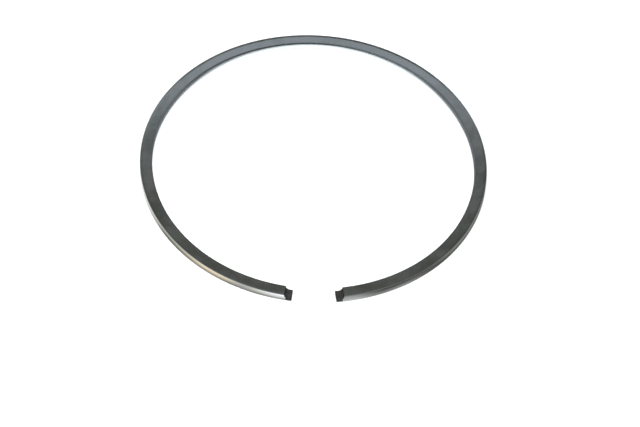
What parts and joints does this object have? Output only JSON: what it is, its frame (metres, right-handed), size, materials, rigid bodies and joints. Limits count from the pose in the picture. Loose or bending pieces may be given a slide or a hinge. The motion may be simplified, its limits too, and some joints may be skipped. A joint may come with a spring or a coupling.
{
  "type": "piston ring",
  "caption": "Split compression ring of rectangular section for a two-stroke piston, in its free state, with a locating-pin notch in the upper flank at each end.",
  "frame": {"origin": "on the ring's axis, in the plane of its lower flank", "axes": "+Z along the ring's axis, from the lower flank to the notched upper flank; the gap faces -Y"},
  "size_m": [0.0644, 0.0641, 0.0015],
  "materials": {
    "ring_iron": "ground satin flanks, polished running face"
  },
  "bodies": {
    "root": {"piston_ring": "ring_iron"}
  },
  "joints": []
}
